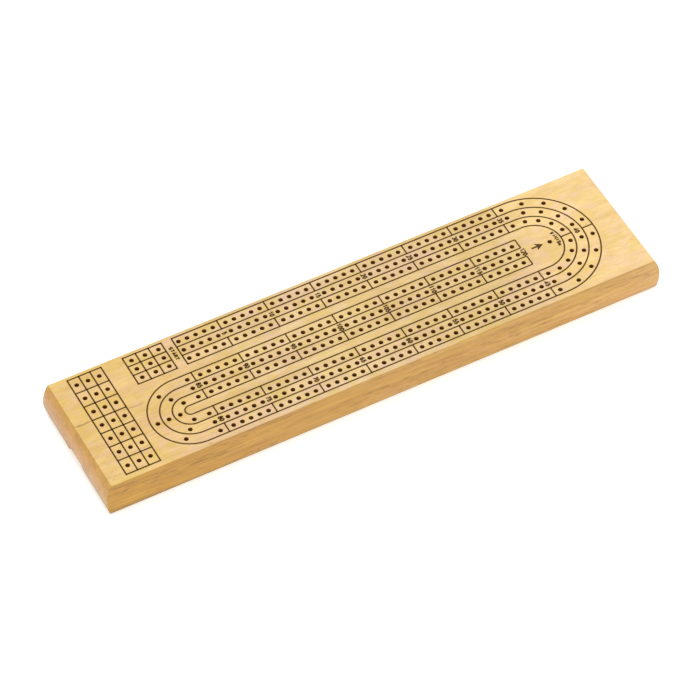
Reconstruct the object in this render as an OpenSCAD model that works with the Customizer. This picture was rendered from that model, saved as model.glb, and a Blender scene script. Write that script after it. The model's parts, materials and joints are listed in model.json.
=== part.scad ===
// Three-track continuous cribbage board with a peg store in its underside, the store's sliding
// cover, and nine pegs lying in the store.
// The origin is the middle of the underside. +X runs from the games-won block towards the finish,
// +Y towards the long edge beside street one, and +Z up out of the playing face.

/* [Board] */
// Length of the flat playing face, without the rounded ends
face_l = 368.4; // [360:0.5:380]
// Width of the board
board_w = 88; // [86:0.1:95]
// Thickness of the board
board_t = 24.8; // [22:0.1:32]
// How far each rounded end stands out past the playing face
end_bulge = 4.1; // [1:0.1:6]
// Height of the fullest part of each end above the underside
end_crown_z = 10.2; // [9:0.1:12]
// Radius on the long edges and on the upper edge of each end
edge_r = 0.7; // [0.4:0.1:1.5]
// Radius on the lower edge of each end
end_foot_r = 1.5; // [1:0.1:3]

/* [Track] */
// Length of one group of five holes on a straight
group_l = 31.75; // [30:0.05:32.5]
// Distance between neighbouring holes of a group
hole_pitch = 5.8; // [5:0.05:6]
// Distance between neighbouring lanes of a street
lane_pitch = 7.4; // [6:0.1:7.6]
// Distance between the middle lanes of neighbouring streets
street_pitch = 29.4; // [27:0.1:29.6]
// How far the whole layout sits towards +Y from the board's middle
layout_shift = 0.4; // [0:0.1:1.5]
// Distance from the board's middle back to the start line
start_x = -104.7; // [-108:0.1:-102]
// Distance from the end of the last group to the centre of the big turn
turn_lead = 8.55; // [7:0.05:10]
// Distance from the start line back to the centre of the small turn
return_lead = 12.7; // [11:0.1:15]
// How far before a turn's centre its first hole sits on the outgoing straight
big_turn_entry = 3.95; // [3:0.05:5]
// Distance along the middle lane between the two holes beside the big turn's apex
big_turn_gap = 11.8; // [9:0.1:14]
// How far before the small turn's centre its first hole sits
small_turn_entry = 8.3; // [6:0.1:10]

/* [Peg holes] */
// Diameter of a peg hole
hole_d = 3; // [2.9:0.1:3.6]
// Depth of a peg hole
hole_depth = 9; // [7:0.5:11]

/* [Scoring blocks] */
// Distance between the columns of the start block
start_col_pitch = 9; // [7:0.1:9.5]
// Distance from the start line back to the middle of the start block
start_block_back = 18.1; // [17:0.1:20]
// Distance between the columns of the games-won block
games_col_pitch = 7.45; // [6.5:0.05:8]
// Distance from the start line back to the middle of the games-won block
games_block_back = 56.8; // [54:0.1:60]
// How far the games-won holes sit towards +Y from the streets' middle
games_block_shift = 0.4; // [0:0.1:1]
// Distance from the end of the last group to the finish hole
finish_lead = 18.2; // [16:0.1:20]

/* [Peg store] */
// Width of the routed store
store_w = 13.2; // [13:0.1:15]
// Height of the store's ceiling above the underside
store_z = 9.5; // [8:0.1:11]
// Length of the store
store_l = 110; // [106:1:112]
// Position of the store's inner end
store_inner_x = -36; // [-40:1:-20]
// How far the store sits towards +Y from the board's middle
store_y = 1.5; // [-2:0.1:2]
// Width of the finger notch where the cover runs out of the end
notch_w = 20.6; // [15.5:0.1:24]
// Height of the finger notch
notch_h = 8.8; // [3:0.1:9.5]
// Length of the finger notch, in from the end
notch_l = 32; // [10:1:33]

/* [Cover] */
// Width of the sliding cover
cover_w = 15; // [14.8:0.1:16]
// Thickness of the cover's sheet
cover_t = 1; // [0.8:0.1:1.2]
// Free play between the cover and each face of its groove
cover_play = 0.2; // [0.15:0.05:0.3]

/* [Pegs] */
// Length of a peg
peg_l = 26; // [24:0.5:28]
// Diameter of the shank that enters a hole
peg_shank_d = 2.8; // [2.6:0.05:3.1]
// Diameter of the head and of the collar
peg_head_d = 3.9; // [3.6:0.05:4]
// Free length between two columns of pegs in the store
peg_gap = 7; // [6.5:0.5:8]

/* [Hidden] */
$fn = 48;
eps = 0.01;

STREET_GROUPS = 7;
HOLES_PER_GROUP = 5;
LANES = [-1, 0, 1];
BIG_TURN_HOLES = 10;
SMALL_TURN_HOLES = 5;
GAMES_ROWS = 7;
PEG_ROWS = [-1, 0, 1];

street_end_x = start_x + STREET_GROUPS * group_l;
big_turn_x = street_end_x + turn_lead;
small_turn_x = start_x - return_lead;
finish_x = street_end_x + finish_lead;
// The middle lanes of streets one, two and three. Street three runs between the other two.
street_y = [layout_shift + street_pitch, layout_shift - street_pitch, layout_shift];
small_turn_y = layout_shift - street_pitch / 2;
// The gap beside the big turn's apex is wider in an outer lane by this much a lane.
apex_gap_growth = 1.5;
games_row_pitch = (2 * street_pitch + 3 * lane_pitch) / GAMES_ROWS;

// The ends are parts of one large cylinder each, with their fullest part at end_crown_z.
crown_to_face = board_t - end_crown_z;
end_r = (crown_to_face * crown_to_face + end_bulge * end_bulge) / (2 * end_bulge);
end_axis_x = face_l / 2 + end_bulge - end_r;
board_l = face_l + 2 * end_bulge;

// The cover runs in a groove that is wider than the window it closes.
window_h = 1;
groove_h = cover_t + 2 * cover_play;
groove_w = cover_w + 2 * cover_play;
groove_inner_x = store_inner_x + (groove_w - store_w) / 2 + 1;
cover_z = window_h + cover_play;
cover_overlap = 7;
cover_l = store_l + cover_overlap + groove_inner_x - cover_play - store_inner_x;
grip_rib_w = 1.2;
grip_rib_h = 0.5;
grip_rib_l = 9;

// The pegs lie on the cover in three columns of three, heads towards the cover's outer end.
peg_pitch = peg_head_d + 0.35;
peg_z = cover_z + cover_t + 0.35 + peg_head_d / 2;
peg_first_x = store_inner_x - 4;

// A cylinder along Y, centred on the board's width and long enough to cut right through it.
module bar_y(r) rotate([90, 0, 0]) cylinder(r = r, h = board_w + 2, center = true, $fn = 96);

// What is cut away to round the edge between an end's cylinder, whose axis is at the origin, and a
// face at height `plane` above that axis.
module end_edge_cut(plane, r) {
    fillet_x = sqrt(pow(end_r - r, 2) - pow(plane - r, 2));
    fillet_z = plane - r;
    out = 6;
    reach = [fillet_x, fillet_z] * (1 + out / norm([fillet_x, fillet_z]));
    difference() {
        rotate([90, 0, 0])
            linear_extrude(board_w + 1, center = true)
                polygon([
                    [fillet_x, fillet_z], reach,
                    [reach[0] + out, plane + out], [fillet_x, plane + out]
                ]);
        translate([fillet_x, 0, fillet_z]) bar_y(r);
    }
}

// What is cut away to round a straight edge along X, whose corner is at the origin.
module long_edge_cut() {
    difference() {
        translate([-board_l / 2 - 1, -edge_r, -edge_r]) cube([board_l + 2, 2 * edge_r, 2 * edge_r]);
        translate([0, -edge_r, -edge_r])
            rotate([0, 90, 0]) cylinder(r = edge_r, h = board_l + 4, center = true);
    }
}

// The plain block: a slab between two cylindrical ends.
module block() {
    intersection() {
        translate([-board_l, -board_w / 2, 0]) cube([2 * board_l, board_w, board_t]);
        union() {
            translate([-end_axis_x, -board_w, -board_t])
                cube([2 * end_axis_x, 2 * board_w, 3 * board_t]);
            for (side = [-1, 1])
                translate([side * end_axis_x, 0, end_crown_z]) bar_y(end_r);
        }
    }
}

// A point of a turn's lane, `s` along it from the turn's apex: on the arc, then on the straight.
function turn_point(x, y, way, r, s) =
    let (half = r * PI / 2, past = abs(s) - half)
    past <= 0
        ? [x + way * r * cos(s / r * 180 / PI), y + r * sin(s / r * 180 / PI)]
        : [x - way * past, y + sign(s) * r];

// Places along a turn's lane on both sides of its apex: evenly spaced out to `reach`, with the
// two nearest the apex `gap` apart.
function turn_places(reach, gap, per_side) =
    let (step = (reach - gap / 2) / (per_side - 1))
    [for (side = [-1, 1], i = [0 : per_side - 1]) side * (gap / 2 + i * step)];

street_holes = [
    for (y = street_y, lane = LANES, group = [0 : STREET_GROUPS - 1], i = [0 : HOLES_PER_GROUP - 1])
        [
            start_x + (group + 0.5) * group_l + (i - (HOLES_PER_GROUP - 1) / 2) * hole_pitch,
            y + lane * lane_pitch
        ]
];
big_turn_holes = [
    for (lane = LANES)
        let (
            r = street_pitch + lane * lane_pitch,
            reach = r * PI / 2 + big_turn_entry,
            gap = big_turn_gap + lane * apex_gap_growth
        )
        for (s = turn_places(reach, gap, BIG_TURN_HOLES / 2))
            turn_point(big_turn_x, layout_shift, 1, r, s)
];
// The small turn has an odd number of holes, so one of them is at its apex.
small_turn_holes = [
    for (lane = LANES)
        let (
            r = street_pitch / 2 + lane * lane_pitch,
            reach = r * PI / 2 + small_turn_entry,
            per_side = (SMALL_TURN_HOLES - 1) / 2
        )
        for (s = concat(0, turn_places(reach, 2 * reach / per_side, per_side)))
            turn_point(small_turn_x, small_turn_y, -1, r, s)
];
start_block_holes = [
    for (col = LANES, lane = LANES)
        [start_x - start_block_back + col * start_col_pitch, street_y[0] + lane * lane_pitch]
];
games_block_holes = [
    for (col = LANES, row = [0 : GAMES_ROWS - 1])
        [
            start_x - games_block_back + col * games_col_pitch,
            layout_shift + games_block_shift + (row - (GAMES_ROWS - 1) / 2) * games_row_pitch
        ]
];
finish_hole = [[finish_x, layout_shift]];
peg_holes = concat(street_holes, big_turn_holes, small_turn_holes, start_block_holes,
    games_block_holes, finish_hole);

// The routed store with round ends, its window, the cover's groove, which runs out of the end, and
// the notch there that lets a finger reach the cover.
module store_cut() {
    length_to_end = board_l / 2 + store_inner_x + 1;
    straight_l = store_l - store_w;
    translate([store_inner_x - store_l + store_w / 2, -store_w / 2, window_h])
        cube([straight_l, store_w, store_z - window_h]);
    for (x = [store_inner_x - store_w / 2, store_inner_x - store_l + store_w / 2])
        translate([x, 0, window_h]) cylinder(d = store_w, h = store_z - window_h);
    translate([store_inner_x - store_w / 2, 0, -1]) cylinder(d = store_w, h = window_h + 1 + eps);
    translate([store_inner_x - length_to_end, -store_w / 2, -1])
        cube([length_to_end - store_w / 2, store_w, window_h + 1 + eps]);
    translate([groove_inner_x - groove_w / 2, 0, window_h]) cylinder(d = groove_w, h = groove_h);
    translate([store_inner_x - length_to_end, -groove_w / 2, window_h])
        cube([length_to_end + groove_inner_x - store_inner_x - groove_w / 2, groove_w, groove_h]);
    translate([store_inner_x - length_to_end, -notch_w / 2, -1])
        cube([notch_l + 1 - notch_w / 2, notch_w, notch_h + 1]);
    translate([notch_l - board_l / 2 - notch_w / 2, 0, -1]) cylinder(d = notch_w, h = notch_h + 1);
}

module board() {
    color("burlywood")
    difference() {
        block();
        for (flip = [0, 1])
            mirror([flip, 0, 0])
                translate([end_axis_x, 0, end_crown_z]) {
                    end_edge_cut(crown_to_face, edge_r);
                    mirror([0, 0, 1]) end_edge_cut(end_crown_z, end_foot_r);
                }
        for (flip_y = [0, 1], low = [0, 1])
            mirror([0, flip_y, 0])
                translate([0, board_w / 2, low ? 0 : board_t])
                    mirror([0, 0, low]) long_edge_cut();
        for (p = peg_holes)
            translate([p[0], p[1], board_t - hole_depth]) cylinder(d = hole_d, h = hole_depth + 1);
        translate([0, store_y, 0]) store_cut();
    }
}

// A sheet-metal strip with one round end and three pressed ribs for the thumb.
module storage_cover() {
    inner_x = groove_inner_x - cover_play;
    color("silver")
    translate([inner_x, store_y, cover_z]) {
        translate([-cover_w / 2, 0, 0]) cylinder(d = cover_w, h = cover_t);
        translate([-cover_l, -cover_w / 2, 0]) cube([cover_l - cover_w / 2, cover_w, cover_t]);
        for (i = [1 : 3])
            translate([-cover_l + 3 * i, -grip_rib_l / 2, -grip_rib_h])
                cube([grip_rib_w, grip_rib_l, grip_rib_h + eps]);
    }
}

// One peg standing on its tip: a shank, a collar, a slim grip and a domed head.
module peg() {
    shank_r = peg_shank_d / 2;
    head_r = peg_head_d / 2;
    shank_l = 11;
    collar_l = 1.2;
    head_l = 4;
    waist_r = shank_r * 0.8;
    dome = [for (a = [0 : 15 : 90]) [head_r * cos(a), peg_l - head_r / 2 + head_r / 2 * sin(a)]];
    rotate_extrude()
        polygon(concat(
            [
                [0, 0], [shank_r - 0.5, 0], [shank_r, 0.8], [shank_r, shank_l],
                [head_r, shank_l + 0.4], [head_r, shank_l + collar_l], [waist_r, shank_l + 2.2],
                [waist_r, peg_l - head_l - 1]
            ],
            dome
        ));
}

// A peg laid in the store: `column` counts from the inner end, `row` across the width.
module stored_peg(column, row, colour) {
    head_x = peg_first_x - peg_l - column * (peg_l + peg_gap);
    color(colour)
    translate([head_x + peg_l, store_y + row * peg_pitch, peg_z])
        rotate([0, -90, 0]) peg();
}

board();
storage_cover();
for (i = [1 : 3]) {
    stored_peg(0, PEG_ROWS[i - 1], "forestgreen");
    stored_peg(1, PEG_ROWS[i - 1], "firebrick");
    stored_peg(2, PEG_ROWS[i - 1], "royalblue");
}
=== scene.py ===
import json
import math

import bmesh
import bpy
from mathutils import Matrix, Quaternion, Vector


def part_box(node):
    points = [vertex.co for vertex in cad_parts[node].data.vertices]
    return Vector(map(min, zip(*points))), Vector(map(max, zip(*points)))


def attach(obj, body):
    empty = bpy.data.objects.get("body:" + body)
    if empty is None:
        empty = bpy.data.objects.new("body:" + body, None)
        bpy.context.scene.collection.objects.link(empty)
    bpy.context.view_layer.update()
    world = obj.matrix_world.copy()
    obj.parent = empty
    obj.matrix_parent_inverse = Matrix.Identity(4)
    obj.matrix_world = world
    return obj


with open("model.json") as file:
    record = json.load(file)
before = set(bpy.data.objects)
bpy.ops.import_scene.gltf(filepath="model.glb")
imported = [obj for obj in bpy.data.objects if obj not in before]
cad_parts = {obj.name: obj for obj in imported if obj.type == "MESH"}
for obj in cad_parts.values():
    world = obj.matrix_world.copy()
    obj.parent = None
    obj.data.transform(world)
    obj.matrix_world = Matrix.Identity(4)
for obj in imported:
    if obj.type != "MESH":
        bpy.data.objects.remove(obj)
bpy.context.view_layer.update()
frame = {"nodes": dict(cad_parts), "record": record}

# A three-track cribbage board in pale, lacquered beech. The frame gives every shape; this script
# adds the marks printed on the playing face, the materials, the light and the camera.
# Layout sizes are in millimetres, as in the CAD model, and everything is made in metres.

MM = 0.001

# ---- The board and its track, as in the CAD model ----

board_low, board_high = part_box("board")
cover_low, cover_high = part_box("storage_cover")
FACE_Z = board_high.z / MM

GROUP_L = 31.75
GROUPS = 7
LANE_PITCH = 7.5
STREET_PITCH = 29.2
START_X = -104.7
TURN_LEAD = 8.1
RETURN_LEAD = 13.0
STREET_END_X = START_X + GROUPS * GROUP_L
BIG_TURN_X = STREET_END_X + TURN_LEAD
SMALL_TURN_X = START_X - RETURN_LEAD

mounts = {mount["name"]: mount for mount in frame["record"]["mounts"]}
FINISH_X = mounts["finish_hole"]["pos_m"][0] / MM
LAYOUT_Y = mounts["finish_hole"]["pos_m"][1] / MM
STREET_ONE_Y = LAYOUT_Y + STREET_PITCH
STREET_TWO_Y = LAYOUT_Y - STREET_PITCH
STREET_THREE_Y = LAYOUT_Y
SMALL_TURN_Y = LAYOUT_Y - STREET_PITCH / 2

LANES = 3
TRACK_HALF_W = LANES / 2 * LANE_PITCH
START_BLOCK_X = START_X - 18.5
START_COLUMN = 8.6
GAMES_BLOCK_X = START_X - 56.8
GAMES_COLUMN = 7.45
GAMES_ROWS = 7
GAMES_ROW = (2 * STREET_PITCH + LANES * LANE_PITCH) / GAMES_ROWS
BLOCK_COLUMNS = 3

# The routed store in the underside, the finger notch at its mouth and the drilled holes.
STORE_Y = (cover_low.y + cover_high.y) / 2 / MM
STORE_INNER_X = -33.5
STORE_HALF_W = 7.75
STORE_FOOT_Z = 0.05
STORE_TOP_Z = 9.7
NOTCH_MOUTH_X = board_low.x / MM + 0.3
NOTCH_INNER_X = board_low.x / MM + 32
NOTCH_EXTRA_HALF_W = 2.57
HOLE_FOOT_Z = 14
HOLES_HALF_L = 182
HOLES_HALF_W = 42.8

# ---- The print ----

# The print sits a little further towards street one than the holes do.
PRINT_Y = 0.28
INK_UNDER = 0.01
INK_OVER = 0.04
LINE_W = 0.98
START_LINE_X = START_X + 1.4

# Lettering: the height, width, gap and stroke of a character.
DIGITS = (2.6, 1.3, 0.75, 0.94)
START_LETTERS = (2.0, 1.65, 0.62, 0.84)
FINISH_LETTERS = (2.0, 1.45, 0.55, 0.84)
START_WORD_BACK = 2.2
FINISH_WORD_INSET = 2.7

# The arrow's tip, barbs, notch and tail, as distances back from the finish hole, and its widths.
ARROW_TIP, ARROW_BARB, ARROW_NOTCH, ARROW_TAIL = 4.6, 9.8, 8.9, 12.7
ARROW_HALF_W = 2.9
ARROW_STEM_HALF_W = 0.6


# ---------------------------------------------------------------------------------------------
# Printed marks
# ---------------------------------------------------------------------------------------------

def arc(cx, cy, rx, ry, start, end, steps=12):
    """Points on an ellipse's arc, by angles in degrees."""
    angles = [math.radians(start + (end - start) * i / steps) for i in range(steps + 1)]
    return [(cx + rx * math.cos(a), cy + ry * math.sin(a)) for a in angles]


# Strokes of each character in a cell one wide and one high.
GLYPHS = {
    "0": [arc(0.5, 0.5, 0.5, 0.5, 0, 360, 20)],
    "1": [[(0.12, 0.74), (0.56, 1.0), (0.56, 0.0)]],
    "2": [arc(0.5, 0.71, 0.46, 0.29, 165, -35) + [(0.04, 0.0), (1.0, 0.0)]],
    "3": [arc(0.46, 0.75, 0.44, 0.25, 155, -90), arc(0.46, 0.26, 0.5, 0.26, 90, -155)],
    "4": [[(0.76, 0.0), (0.76, 1.0), (0.0, 0.3), (1.0, 0.3)]],
    "5": [[(0.92, 1.0), (0.2, 1.0), (0.1, 0.54)] + arc(0.46, 0.33, 0.5, 0.33, 128, -150)],
    "6": [arc(0.72, 0.36, 0.7, 0.64, 80, 178), arc(0.5, 0.3, 0.48, 0.3, 0, 360, 16)],
    "7": [[(0.0, 1.0), (1.0, 1.0), (0.36, 0.0)]],
    "8": [arc(0.5, 0.76, 0.42, 0.24, 0, 360, 16), arc(0.5, 0.26, 0.5, 0.26, 0, 360, 16)],
    "9": [arc(0.28, 0.64, 0.7, 0.64, -100, -2), arc(0.5, 0.7, 0.48, 0.3, 0, 360, 16)],
    "A": [[(0.0, 0.0), (0.5, 1.0), (1.0, 0.0)], [(0.18, 0.33), (0.82, 0.33)]],
    "F": [[(0.08, 0.0), (0.08, 1.0), (0.95, 1.0)], [(0.08, 0.52), (0.78, 0.52)]],
    "H": [[(0.05, 0.0), (0.05, 1.0)], [(0.95, 0.0), (0.95, 1.0)], [(0.05, 0.52), (0.95, 0.52)]],
    "I": [[(0.5, 0.0), (0.5, 1.0)]],
    "N": [[(0.05, 0.0), (0.05, 1.0), (0.95, 0.0), (0.95, 1.0)]],
    "R": [
        [(0.08, 0.0), (0.08, 1.0)] + arc(0.52, 0.75, 0.4, 0.25, 90, -90) + [(0.08, 0.5)],
        [(0.5, 0.5), (0.98, 0.0)],
    ],
    "S": [arc(0.5, 0.75, 0.44, 0.25, 25, 270), arc(0.5, 0.25, 0.46, 0.25, 90, -155)],
    "T": [[(0.0, 1.0), (1.0, 1.0)], [(0.5, 1.0), (0.5, 0.0)]],
}


SAME_POINT = 1e-4
SHARPEST_COSINE = 0.3
LONGEST_MITRE = 2.2


def side_points(points, width):
    """The left and right outline of a stroke along points, mitred at its corners."""
    closed = (Vector(points[0]) - Vector(points[-1])).length < SAME_POINT
    line = [Vector(p) for p in (points[:-1] if closed else points)]
    count = len(line)
    left, right = [], []
    for i, here in enumerate(line):
        before = line[i - 1] if closed or i else None
        after = line[(i + 1) % count] if closed or i < count - 1 else None
        into = (here - before).normalized() if before else (after - here).normalized()
        out = (after - here).normalized() if after else into
        along = into + out
        along = along.normalized() if along.length > SAME_POINT else into
        reach = min(1 / max(along.dot(into), SHARPEST_COSINE), LONGEST_MITRE) * width / 2
        across = Vector((-along.y, along.x)) * reach
        left.append(here + across)
        right.append(here - across)
    return left, right, closed


def add_stroke(mesh, points, width):
    """A thin closed solid of ink along points, in millimetres on the playing face."""
    left, right, closed = side_points(points, width)
    low, high = FACE_Z - INK_UNDER, FACE_Z + INK_OVER
    rows = []
    for a, b in zip(left, right):
        corners = [(a.x, a.y, low), (b.x, b.y, low), (b.x, b.y, high), (a.x, a.y, high)]
        rows.append([mesh.verts.new([MM * v for v in corner]) for corner in corners])
    pairs = list(zip(rows, rows[1:] + rows[:1])) if closed else list(zip(rows, rows[1:]))
    for one, two in pairs:
        for i in range(4):
            j = (i + 1) % 4
            mesh.faces.new((one[i], two[i], two[j], one[j]))
    if not closed:
        mesh.faces.new(rows[0])
        mesh.faces.new(rows[-1][::-1])


def add_outline(mesh, points):
    """A thin closed solid of ink inside an outline, in millimetres on the playing face."""
    low, high = FACE_Z - INK_UNDER, FACE_Z + INK_OVER
    bottom = [mesh.verts.new((MM * x, MM * y, MM * low)) for x, y in points]
    top = [mesh.verts.new((MM * x, MM * y, MM * high)) for x, y in points]
    mesh.faces.new(bottom[::-1])
    mesh.faces.new(top)
    for i in range(len(points)):
        j = (i + 1) % len(points)
        mesh.faces.new((bottom[i], bottom[j], top[j], top[i]))


def printed(name, strokes=(), outlines=()):
    """One piece of print from (points, width) strokes and filled outlines."""
    mesh = bmesh.new()
    for points, width in strokes:
        add_stroke(mesh, points, width)
    for points in outlines:
        add_outline(mesh, points)
    bmesh.ops.recalc_face_normals(mesh, faces=mesh.faces)
    bmesh.ops.translate(mesh, verts=mesh.verts, vec=(0, MM * PRINT_Y, 0))
    data = bpy.data.meshes.new(name)
    mesh.to_mesh(data)
    mesh.free()
    piece = bpy.data.objects.new(name, data)
    bpy.context.collection.objects.link(piece)
    data.materials.append(ink)
    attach(piece, "board")


def glyph_strokes(text, lettering, place):
    """Strokes of a line of text. place turns (along the text, up the letters) into x and y."""
    height, width, gap, stroke = lettering
    length = len(text) * width + (len(text) - 1) * gap
    made = []
    for index, letter in enumerate(text):
        offset = index * (width + gap) - length / 2
        for line in GLYPHS[letter]:
            made.append(([place(offset + u * width, (v - 0.5) * height) for u, v in line], stroke))
    return made


def facing_finish(x, y):
    """Text centred at x, y that reads towards -Y, with the letters' tops towards +X."""
    return lambda along, up: (x + up, y - along)


def lane_lines():
    """The four long lines that bound the lanes, from the start line round both turns."""
    strokes = []
    for side in (-1.5, -0.5, 0.5, 1.5):
        out = side * LANE_PITCH
        path = [(START_LINE_X, STREET_ONE_Y + out)]
        path += arc(BIG_TURN_X, LAYOUT_Y, STREET_PITCH + out, STREET_PITCH + out, 90, -90, 72)
        small = STREET_PITCH / 2 + out
        path += arc(SMALL_TURN_X, SMALL_TURN_Y, small, small, 270, 90, 48)
        path.append((STREET_END_X, STREET_THREE_Y + out))
        strokes.append((path, LINE_W))
    return strokes


def divider(x, y):
    """A group's end line: it crosses the two outer lanes, and the number has the middle one."""
    near, far = LANE_PITCH / 2, TRACK_HALF_W
    return [([(x, y + side * near), (x, y + side * far)], LINE_W) for side in (-1, 1)]


def group_ends():
    """(number, x, y) for every five holes on the three straights."""
    ends = []
    for k in range(1, GROUPS + 1):
        ends.append((5 * k, START_X + k * GROUP_L, STREET_ONE_Y))
    for k in range(GROUPS + 1):
        ends.append((45 + 5 * k, STREET_END_X - k * GROUP_L, STREET_TWO_Y))
        ends.append((85 + 5 * k, START_X + k * GROUP_L, STREET_THREE_Y))
    return ends


def divider_lines():
    """The start line, the lines between groups of five, and the one at the big turn's middle."""
    reach = TRACK_HALF_W + LINE_W / 2
    start = [(START_LINE_X, STREET_ONE_Y - reach), (START_LINE_X, STREET_ONE_Y + reach)]
    strokes = [(start, LINE_W)]
    for _, x, y in group_ends():
        strokes += divider(x, y)
    for side in (-1, 1):
        near = BIG_TURN_X + STREET_PITCH + side * LANE_PITCH / 2
        far = BIG_TURN_X + STREET_PITCH + side * TRACK_HALF_W
        strokes.append(([(near, LAYOUT_Y), (far, LAYOUT_Y)], LINE_W))
    return strokes


def numerals():
    """The number of every fifth hole, in the middle lane."""
    strokes = []
    marks = group_ends() + [(40, BIG_TURN_X + STREET_PITCH, LAYOUT_Y)]
    for number, x, y in marks:
        place = facing_finish(x, y)
        strokes += glyph_strokes(str(number), DIGITS, place)
    return strokes


def grid_lines(x, y, column, columns, row, rows):
    """The ruled grid round a block of holes."""
    half_x, half_y = columns * column / 2, rows * row / 2
    strokes = []
    for i in range(columns + 1):
        at = x - half_x + i * column
        strokes.append(([(at, y - half_y - LINE_W / 2), (at, y + half_y + LINE_W / 2)], LINE_W))
    for i in range(rows + 1):
        at = y - half_y + i * row
        strokes.append(([(x - half_x, at), (x + half_x, at)], LINE_W))
    return strokes


def start_word():
    """The word between the start block and the start line."""
    place = facing_finish(START_X - START_WORD_BACK, STREET_ONE_Y)
    return glyph_strokes("START", START_LETTERS, place)


def finish_word():
    """The word beyond the finish hole, on an arc just inside the innermost line."""
    radius = STREET_PITCH - TRACK_HALF_W - FINISH_WORD_INSET

    def place(along, up):
        angle = -along / radius
        reach = radius + up
        return BIG_TURN_X + reach * math.cos(angle), LAYOUT_Y + reach * math.sin(angle)

    return glyph_strokes("FINISH", FINISH_LETTERS, place)


def finish_arrow():
    """A barbed arrow that points along street three at the finish hole."""
    right = [
        (ARROW_TIP, 0),
        (ARROW_BARB, ARROW_HALF_W),
        (ARROW_NOTCH, ARROW_STEM_HALF_W),
        (ARROW_TAIL, ARROW_STEM_HALF_W),
    ]
    outline = right + [(x, -y) for x, y in right[:0:-1]]
    return [(FINISH_X - x, LAYOUT_Y + y) for x, y in outline]


# ---------------------------------------------------------------------------------------------
# Materials
# ---------------------------------------------------------------------------------------------

class Graph:
    """A material's nodes, made from left to right. Values or sockets feed each node."""

    def __init__(self, name):
        self.material = bpy.data.materials.new(name)
        self.material.use_nodes = True
        self.tree = self.material.node_tree
        self.tree.nodes.clear()
        self.place = self.node("TexCoord")

    def node(self, kind, inputs=None, **settings):
        made = self.tree.nodes.new("ShaderNode" + kind)
        for key, value in settings.items():
            setattr(made, key, value)
        for key, value in (inputs or {}).items():
            self.feed(made.inputs[key], value)
        return made

    def feed(self, socket, value):
        if isinstance(value, bpy.types.NodeSocket):
            self.tree.links.new(value, socket)
        else:
            socket.default_value = value

    def math(self, operation, *values):
        inputs = dict(enumerate(values))
        return self.node("Math", inputs, operation=operation).outputs[0]

    def add(self, one, two):
        return self.math("ADD", one, two)

    def minus(self, one, two):
        return self.math("SUBTRACT", one, two)

    def times(self, first, *others):
        for other in others:
            first = self.math("MULTIPLY", first, other)
        return first

    def away_from(self, value, middle):
        return self.math("ABSOLUTE", self.minus(value, middle))

    def remap(self, value, low, high, to_low=0.0, to_high=1.0):
        """A smooth step from to_low at low to to_high at high."""
        inputs = {0: value, 1: low, 2: high, 3: to_low, 4: to_high}
        return self.node("MapRange", inputs, interpolation_type="SMOOTHSTEP").outputs[0]

    def scaled(self, vector, scale):
        inputs = {0: vector, 1: scale}
        return self.node("VectorMath", inputs, operation="MULTIPLY").outputs[0]

    def noise(self, vector, scale, detail=3.0, roughness=0.5, distortion=0.0):
        """Noise with its own scale along x, y and z, in features per metre."""
        inputs = {"Vector": self.scaled(vector, scale), "Scale": 1.0, "Detail": detail}
        inputs.update({"Roughness": roughness, "Distortion": distortion})
        return self.node("TexNoise", inputs).outputs[0]

    def mix(self, factor, one, two, blend="MIX"):
        inputs = {0: factor, 6: one, 7: two}
        return self.node("Mix", inputs, data_type="RGBA", blend_type=blend).outputs[2]

    def bump(self, height, distance):
        inputs = {"Height": height, "Distance": distance, "Strength": 1.0}
        return self.node("Bump", inputs).outputs[0]

    def split(self, vector):
        made = self.node("SeparateXYZ", {0: vector})
        return made.outputs[0], made.outputs[1], made.outputs[2]

    def finish(self, **inputs):
        """The surface itself. Underscores in the names stand for spaces."""
        named = {key.replace("_", " "): value for key, value in inputs.items()}
        shader = self.node("BsdfPrincipled", named)
        self.node("OutputMaterial", {0: shader.outputs[0]})
        return self.material


def colour(red, green, blue):
    return (red, green, blue, 1.0)


# Wood tones. The tints of the face, sides and ends turn them into the finished ones, and also carry
# painted sheen, painted light from the floor and painted shade.
GOLD = colour(0.70, 0.462, 0.103)
ROSE = colour(0.745, 0.475, 0.240)
HONEY = colour(0.60, 0.355, 0.090)
BROWN = colour(0.36, 0.175, 0.045)
AMBER = colour(0.40, 0.225, 0.015)
PALE = colour(0.80, 0.555, 0.200)
RAW = colour(0.80, 0.60, 0.34)
# Painted shade inside the drilled holes.
HOLE_PAINTED_SHADE = colour(0.26, 0.105, 0.009)

# The pith lies below the board, and the grain of the long sides runs slightly downhill.
PITH_Y = 16
PITH_DEPTH = 105
RING_W = 3.6
GRAIN_SLOPE = 0.035

# Each mineral streak's x, y, half length, half width and strength.
MINERAL_STREAKS = [(-178.6, 6.6, 6.5, 1.3, 0.95), (-147.0, 4.8, 9.0, 1.0, 0.55)]
STREAK_WANDER = 4

# The cutter's ripple in the routed store, in radians per metre.
CUTTER_RIPPLE = 4200.0


def growth_rings(g, at, y, z):
    """Latewood, from 0 to 1 across each ring. The rings wander slowly along the board."""
    drift_y = g.times(g.minus(g.noise(at, (3.1, 9, 9), 2), 0.5), 0.05)
    drift_z = g.times(g.minus(g.noise(at, (2.3, 7, 12), 2), 0.5), 0.045)
    ring_y = g.add(g.minus(y, MM * PITH_Y), drift_y)
    ring_z = g.add(g.add(z, MM * PITH_DEPTH), drift_z)
    radius = g.math("SQRT", g.add(g.times(ring_y, ring_y), g.times(ring_z, ring_z)))
    years = g.math("DIVIDE", radius, MM * RING_W)
    years = g.add(years, g.times(g.noise(at, (7, 60, 60), 3), 1.6))
    return g.math("POWER", g.math("FRACT", years), 2.6)


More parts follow.
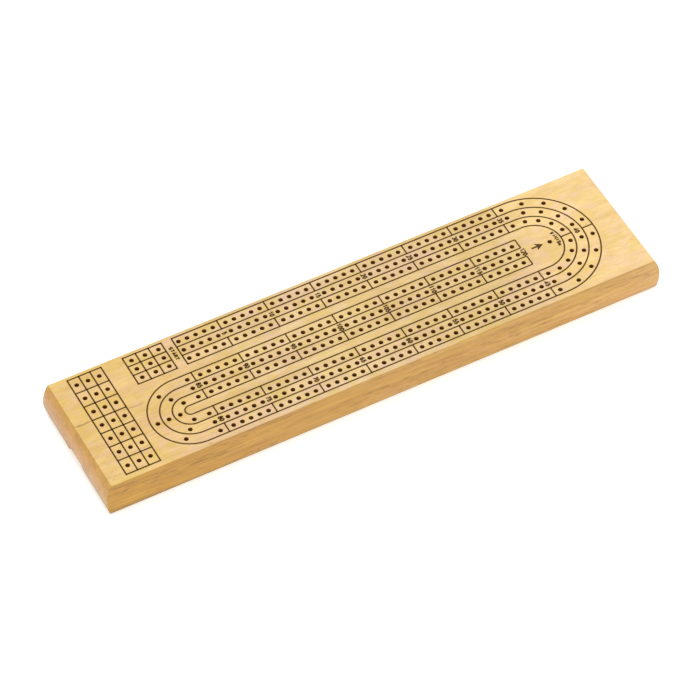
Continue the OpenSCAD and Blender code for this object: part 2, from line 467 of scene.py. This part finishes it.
def base_tone(g, at):
    """Patches of gold and rose under a pale mottle."""
    patches = g.noise(at, (16, 42, 60), 3, 0.6)
    blush = g.noise(at, (130, 230, 230), 3)
    mottle = g.noise(at, (75, 120, 140), 3, 0.55)
    warmth = g.add(g.times(patches, 0.5), g.times(blush, 0.5))
    tone = g.mix(g.remap(warmth, 0.41, 0.59), GOLD, ROSE)
    return g.mix(g.times(g.remap(mottle, 0.40, 0.62), 0.6), tone, PALE)


def streaked(g, tone, leaning, x, side, on_end):
    """Long bands and streaks, and the short dark dashes that show most on the long sides."""
    band_strength = g.add(0.29, g.times(side, 0.40))
    bands = g.remap(g.noise(leaning, (4.5, 70, 90), 3, 0.55, 0.5), 0.42, 0.66)
    tone = g.mix(g.times(bands, band_strength), tone, HONEY)
    streaks = g.remap(g.noise(leaning, (20, 260, 420), 4, 0.62), 0.47, 0.75)
    tone = g.mix(g.times(streaks, band_strength, 0.58), tone, AMBER)
    dashes = g.remap(g.noise(leaning, (105, 900, 1050), 3, 0.6), 0.53, 0.62)
    dashes = g.times(dashes, g.remap(g.noise(leaning, (13, 50, 130), 2), 0.36, 0.60))
    dash_strength = g.add(0.14, g.times(side, g.remap(x, -0.2, 0.1, 0.86, 0.66)))
    dash_strength = g.times(dash_strength, g.remap(on_end, 0.0, 1.0, 1.0, 0.3))
    return g.mix(g.times(dashes, dash_strength), tone, AMBER)


def mineral_streaks(g, tone, at, x, y):
    """Two short dark streaks near the games-won block."""
    wander = g.times(g.minus(g.noise(at, (90, 90, 90), 2), 0.5), MM * STREAK_WANDER)
    streak_y = g.add(y, wander)
    for mark_x, mark_y, half_l, half_w, strength in MINERAL_STREAKS:
        off_x = g.away_from(x, MM * mark_x)
        off_y = g.away_from(streak_y, MM * mark_y)
        mark = g.remap(off_x, MM * half_l * 0.5, MM * half_l, strength, 0.0)
        mark = g.times(mark, g.remap(off_y, 0.0, MM * half_w, 1.0, 0.0))
        tone = g.mix(mark, tone, BROWN)
    return tone


def face_tint(g, x):
    """The face's tone drifts along the board; towards the right end painted sheen makes it paler and
    brighter.
    """
    left = colour(0.91, 0.90, 0.82)
    middle = colour(0.86, 0.89, 1.02)
    late = colour(0.80, 0.80, 0.81)
    # Painted sheen: the right end of the face is paler and brighter.
    right = colour(0.98, 0.98, 1.02)
    tint = g.mix(g.remap(x, -0.15, -0.05), left, middle)
    tint = g.mix(g.remap(x, -0.02, 0.05), tint, late)
    return g.mix(g.remap(x, 0.09, 0.15), tint, right)


def side_tint(g, x, z, facing_z):
    """The sides took more finish than the face. Painted sheen pales them to the right, painted light
    from the floor pales them low down, and they are a little darker just under the top edge. Their
    foot has painted shade at the left end and painted light at the right end.
    """
    # Painted sheen: the sides are paler towards the right.
    rightward_painted_sheen = g.remap(x, -0.17, 0.09)
    # Painted light from the floor: the sides are paler low down than high up.
    low = g.mix(rightward_painted_sheen, colour(0.775, 0.60, 0.17), colour(0.90, 0.775, 0.56))
    high = g.mix(rightward_painted_sheen, colour(0.705, 0.53, 0.04), colour(0.80, 0.665, 0.30))
    # Painted shade darkens the foot at the left end; painted light pales it at the right end.
    foot_painted_shade_and_light = g.mix(rightward_painted_sheen, colour(0.42, 0.50, 0.50), colour(0.84, 0.95, 1.10))
    tint = g.mix(g.remap(z, 0.004, 0.019), low, high)
    # A little darker just under the top edge.
    tint = g.scaled(tint, g.remap(z, 0.0195, 0.0235, 1.0, 0.93))
    upright = g.remap(facing_z, -0.95, -0.6)
    return g.mix(g.times(g.remap(z, 0.0008, 0.0030, 0.6, 0.0), upright), tint, foot_painted_shade_and_light)


def end_tint(g, z):
    """The ends are rosy, with a golden band of painted shade under the face's edge and painted shade
    dulling them towards the foot.
    """
    # Painted shade: a golden band just under the face's edge.
    golden_painted_shade = colour(0.68, 0.51, 0.06)
    rosy = colour(0.71, 0.53, 0.41)
    # Painted shade: the ends are duller towards the foot.
    foot_painted_shade = colour(0.45, 0.47, 0.71)
    tint = g.mix(g.remap(z, 0.015, 0.0225), rosy, golden_painted_shade)
    return g.mix(g.remap(z, 0.003, 0.015), foot_painted_shade, tint)


def inside_holes(g, x, y, z):
    """1 inside the drilled holes, from just below the face."""
    below = g.remap(z, MM * (FACE_Z - 0.3), MM * (FACE_Z - 0.03), 1.0, 0.0)
    above = g.math("GREATER_THAN", z, MM * HOLE_FOOT_Z)
    inside_x = g.math("LESS_THAN", g.math("ABSOLUTE", x), MM * HOLES_HALF_L)
    inside_y = g.math("LESS_THAN", g.math("ABSOLUTE", y), MM * HOLES_HALF_W)
    return g.times(below, above, inside_x, inside_y)


def inside_store(g, x, y, z):
    """1 in the routed store and in the wider finger notch."""
    inside_x = g.times(
        g.math("LESS_THAN", x, MM * STORE_INNER_X),
        g.math("GREATER_THAN", x, MM * NOTCH_MOUTH_X),
    )
    in_notch = g.math("LESS_THAN", x, MM * NOTCH_INNER_X)
    half_w = g.add(MM * STORE_HALF_W, g.times(in_notch, MM * NOTCH_EXTRA_HALF_W))
    inside_y = g.math("LESS_THAN", g.away_from(y, MM * STORE_Y), half_w)
    above = g.math("GREATER_THAN", z, MM * STORE_FOOT_Z)
    inside_z = g.times(above, g.math("LESS_THAN", z, MM * STORE_TOP_Z))
    return g.times(inside_x, inside_y, inside_z)


def wood_material():
    """Plain-sawn beech with its grain along X, lacquered outside and raw in the peg store."""
    g = Graph("board_wood")
    at = g.place.outputs["Object"]
    x, y, z = g.split(at)
    facing_x, _, facing_z = g.split(g.place.outputs["Normal"])
    on_top = g.remap(facing_z, 0.6, 0.95)
    on_end = g.remap(g.math("ABSOLUTE", facing_x), 0.45, 0.85)
    side = g.minus(1.0, on_top)
    lean = g.add(z, g.times(x, GRAIN_SLOPE))
    leaning = g.node("CombineXYZ", {0: x, 1: y, 2: lean}).outputs[0]

    tone = streaked(g, base_tone(g, at), leaning, x, side, on_end)
    latewood = growth_rings(g, at, y, z)
    ring_strength = g.minus(0.2, g.times(g.math("MAXIMUM", on_top, on_end), 0.1))
    tone = g.mix(g.times(latewood, ring_strength), tone, BROWN)
    fibres = g.noise(at, (26, 900, 900), 4, 0.65)
    fibre_strength = g.add(0.18, g.times(side, 0.22))
    tone = g.mix(g.times(g.remap(fibres, 0.48, 0.72), fibre_strength), tone, AMBER)
    pores = g.remap(g.noise(at, (190, 2600, 2600), 2), 0.62, 0.72)
    tone = g.mix(g.times(pores, 0.25), tone, BROWN)
    flecks = g.remap(g.noise(at, (240, 1100, 1300), 1), 0.67, 0.75)
    flecks = g.times(flecks, g.remap(g.noise(at, (9, 30, 30), 2), 0.46, 0.62))
    tone = g.mix(g.times(flecks, 0.45), tone, BROWN)
    tone = mineral_streaks(g, tone, at, x, y)

    # The face tint carries painted sheen; the side and end tints carry painted light and painted
    # shade.
    tint = g.mix(on_top, side_tint(g, x, z, facing_z), face_tint(g, x))
    tint = g.mix(on_end, tint, end_tint(g, z))
    tone = g.mix(1.0, tone, tint, "MULTIPLY")

    # The holes get painted shade inside, dark brown from just below the face. The store and its notch
    # are raw and show the cutter's marks.
    in_hole = inside_holes(g, x, y, z)
    raw = inside_store(g, x, y, z)
    tone = g.mix(in_hole, tone, HOLE_PAINTED_SHADE)
    tone = g.mix(g.times(raw, 0.5), tone, RAW)
    cutter = g.math("SINE", g.times(x, CUTTER_RIPPLE))

    relief = g.minus(g.times(fibres, 0.55), g.times(pores, 0.7))
    relief = g.minus(relief, g.times(latewood, 0.15))
    relief = g.add(relief, g.times(cutter, raw, 0.25))

    bare = g.math("MAXIMUM", raw, in_hole)
    rough = g.add(0.36, g.times(g.noise(at, (18, 60, 60), 3), 0.18))
    rough = g.add(rough, g.times(pores, 0.15))
    rough = g.add(rough, g.times(bare, 0.35))
    return g.finish(
        Base_Color=tone,
        Roughness=rough,
        Normal=g.bump(relief, 0.00005),
        Coat_Weight=g.times(g.minus(1.0, bare), 0.22),
        Coat_Roughness=0.3,
    )


def ink_material():
    """Dark brown screen print, a little thin where it lies over open grain."""
    g = Graph("print_ink")
    at = g.place.outputs["Object"]
    grain = g.noise(at, (60, 1500, 1500), 3, 0.6)
    cloud = g.noise(at, (40, 60, 60), 2)
    dark = colour(0.075, 0.034, 0.004)
    thin = colour(0.150, 0.075, 0.012)
    tone = g.mix(g.times(g.remap(grain, 0.5, 0.75), 0.6), dark, thin)
    tone = g.mix(g.times(g.remap(cloud, 0.4, 0.7), 0.2), tone, thin)
    rough = g.add(0.55, g.times(grain, 0.25))
    relief = g.bump(grain, 0.00002)
    return g.finish(Base_Color=tone, Roughness=rough, Normal=relief, Specular_IOR_Level=0.15)


def steel_material():
    """Cold-rolled sheet, brushed along X, with use marks where the cover rubs in its groove."""
    g = Graph("cover_steel")
    at = g.place.outputs["Object"]
    brushing = g.noise(at, (30, 5200, 5200), 3, 0.7)
    smears = g.noise(at, (50, 90, 90), 3, 0.6)
    scratches = g.remap(g.noise(at, (14, 2300, 900), 2, 0.5, 0.6), 0.66, 0.70)
    tone = g.mix(g.remap(smears, 0.35, 0.7), colour(0.66, 0.66, 0.68), colour(0.54, 0.53, 0.53))
    tone = g.mix(g.times(scratches, 0.5), tone, colour(0.84, 0.84, 0.85))
    rough = g.add(0.24, g.times(brushing, 0.16))
    rough = g.add(rough, g.times(smears, 0.1))
    relief = g.minus(brushing, g.times(scratches, 0.6))
    return g.finish(
        Base_Color=tone, Metallic=1.0, Roughness=rough, Normal=g.bump(relief, 0.00001)
    )


def peg_material(name, deep, bright, axis_z):
    """Moulded gloss plastic: a slightly cloudy colour, fine scuffs and the mould's parting line."""
    g = Graph(name)
    at = g.place.outputs["Object"]
    z = g.split(at)[2]
    cloud = g.noise(at, (160, 300, 300), 3, 0.55)
    scuffs = g.remap(g.noise(at, (300, 4200, 4200), 2, 0.6, 0.8), 0.58, 0.7)
    tone = g.mix(g.remap(cloud, 0.3, 0.7), deep, bright)
    worn = g.mix(0.5, bright, colour(0.8, 0.8, 0.8))
    tone = g.mix(g.times(scuffs, 0.12), tone, worn)
    seam = g.remap(g.away_from(z, axis_z), 0.00003, 0.00009, 1.0, 0.0)
    relief = g.minus(seam, g.times(scuffs, 0.3))
    relief = g.add(relief, g.times(cloud, 0.2))
    rough = g.add(0.16, g.times(scuffs, 0.22))
    rough = g.add(rough, g.times(cloud, 0.08))
    return g.finish(
        Base_Color=tone,
        Roughness=rough,
        Normal=g.bump(relief, 0.00004),
        Subsurface_Weight=0.08,
        Subsurface_Scale=0.001,
    )


def floor_material():
    """A white light table, lit a little from below."""
    g = Graph("studio_floor")
    at = g.place.outputs["Object"]
    cloud = g.noise(at, (3, 3, 3), 2)
    tone = g.mix(cloud, colour(0.94, 0.94, 0.94), colour(0.96, 0.96, 0.96))
    glow = colour(1.0, 1.0, 1.0)
    return g.finish(Base_Color=tone, Roughness=0.7, Emission_Color=glow, Emission_Strength=0.28)


# ---------------------------------------------------------------------------------------------
# Studio
# ---------------------------------------------------------------------------------------------

# Each softbox's name, place, width in metres and power in watts.
SOFTBOXES = [
    ("key", (1.25, 1.4, 1.8), 1.2, 14),
    ("overhead", (-0.2, 0.25, 2.0), 1.2, 9),
    ("front_fill", (1.1, -1.5, 0.8), 1.0, 4),
    ("end_fill", (-1.7, -0.2, 0.9), 1.0, 5),
]
AMBIENT = 0.85
FLOOR_HALF_W = 8.0
FLOOR_Z = -0.0002

# Degrees, metres and millimetres of lens.
CAMERA_AZIMUTH, CAMERA_ELEVATION, CAMERA_ROLL = 27.22, 49.91, 0.94
CAMERA_AIM = (-0.0128, -0.0181, FACE_Z * MM + 0.0002)
CAMERA_DISTANCE = 2.4925
CAMERA_LENS = 213.5


def turned_to(obj, target):
    """Point a light or camera, which looks along its own -Z, at a place."""
    obj.rotation_mode = "QUATERNION"
    obj.rotation_quaternion = (Vector(target) - obj.location).to_track_quat("-Z", "Y")


def softbox(name, place, size, watts):
    """A round white light that faces the board."""
    data = bpy.data.lights.new(name, "AREA")
    data.shape = "DISK"
    data.size = size
    data.energy = watts
    light = bpy.data.objects.new(name, data)
    bpy.context.collection.objects.link(light)
    light.location = place
    turned_to(light, (0, 0, 0))


def studio():
    """Soft light all round, and a pale floor just under the board."""
    for light in SOFTBOXES:
        softbox(*light)

    world = bpy.data.worlds.new("studio")
    world.use_nodes = True
    background = world.node_tree.nodes["Background"]
    background.inputs["Color"].default_value = colour(1.0, 1.0, 1.0)
    background.inputs["Strength"].default_value = AMBIENT
    bpy.context.scene.world = world

    data = bpy.data.meshes.new("floor")
    half, z = FLOOR_HALF_W, FLOOR_Z
    corners = [(-half, -half, z), (half, -half, z), (half, half, z), (-half, half, z)]
    data.from_pydata(corners, [], [(0, 1, 2, 3)])
    floor = bpy.data.objects.new("floor", data)
    bpy.context.collection.objects.link(floor)
    data.materials.append(floor_material())
    bpy.context.scene.view_settings.view_transform = "Standard"


def camera():
    """A long lens from the left front corner, high over the board."""
    azimuth = math.radians(CAMERA_AZIMUTH)
    elevation = math.radians(CAMERA_ELEVATION)
    aim = Vector(CAMERA_AIM)
    away = Vector((-math.sin(azimuth), -math.cos(azimuth), math.tan(elevation))).normalized()
    data = bpy.data.cameras.new("camera")
    data.lens = CAMERA_LENS
    view = bpy.data.objects.new("camera", data)
    bpy.context.collection.objects.link(view)
    view.location = aim + away * CAMERA_DISTANCE
    turned_to(view, aim)
    view.rotation_quaternion @= Quaternion((0, 0, 1), -math.radians(CAMERA_ROLL))
    bpy.context.scene.camera = view


# ---------------------------------------------------------------------------------------------
# The scene
# ---------------------------------------------------------------------------------------------

def paint(node, material):
    """Every slot of a CAD node's object gets the material."""
    obj = frame["nodes"][node]
    for slot in obj.material_slots:
        slot.material = material


ink = ink_material()
printed("lane_lines", lane_lines())
printed("divider_lines", divider_lines())
printed("numerals", numerals())
start_grid = (START_BLOCK_X, STREET_ONE_Y, START_COLUMN, BLOCK_COLUMNS, LANE_PITCH, LANES)
printed("start_block_lines", grid_lines(*start_grid))
games_grid = (GAMES_BLOCK_X, LAYOUT_Y, GAMES_COLUMN, BLOCK_COLUMNS, GAMES_ROW, GAMES_ROWS)
printed("games_block_lines", grid_lines(*games_grid))
printed("start_word", start_word())
printed("finish_word", finish_word())
printed("finish_arrow", outlines=[finish_arrow()])

paint("board", wood_material())
paint("storage_cover", steel_material())
PEG_COLOURS = {
    "green": (colour(0.010, 0.160, 0.045), colour(0.020, 0.240, 0.070)),
    "red": (colour(0.420, 0.010, 0.012), colour(0.560, 0.022, 0.022)),
    "blue": (colour(0.010, 0.045, 0.330), colour(0.020, 0.075, 0.450)),
}
for name, (deep, bright) in PEG_COLOURS.items():
    low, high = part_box(f"peg_{name}_1")
    plastic = peg_material(f"peg_{name}", deep, bright, (low.z + high.z) / 2)
    for index in (1, 2, 3):
        paint(f"peg_{name}_{index}", plastic)

studio()
camera()
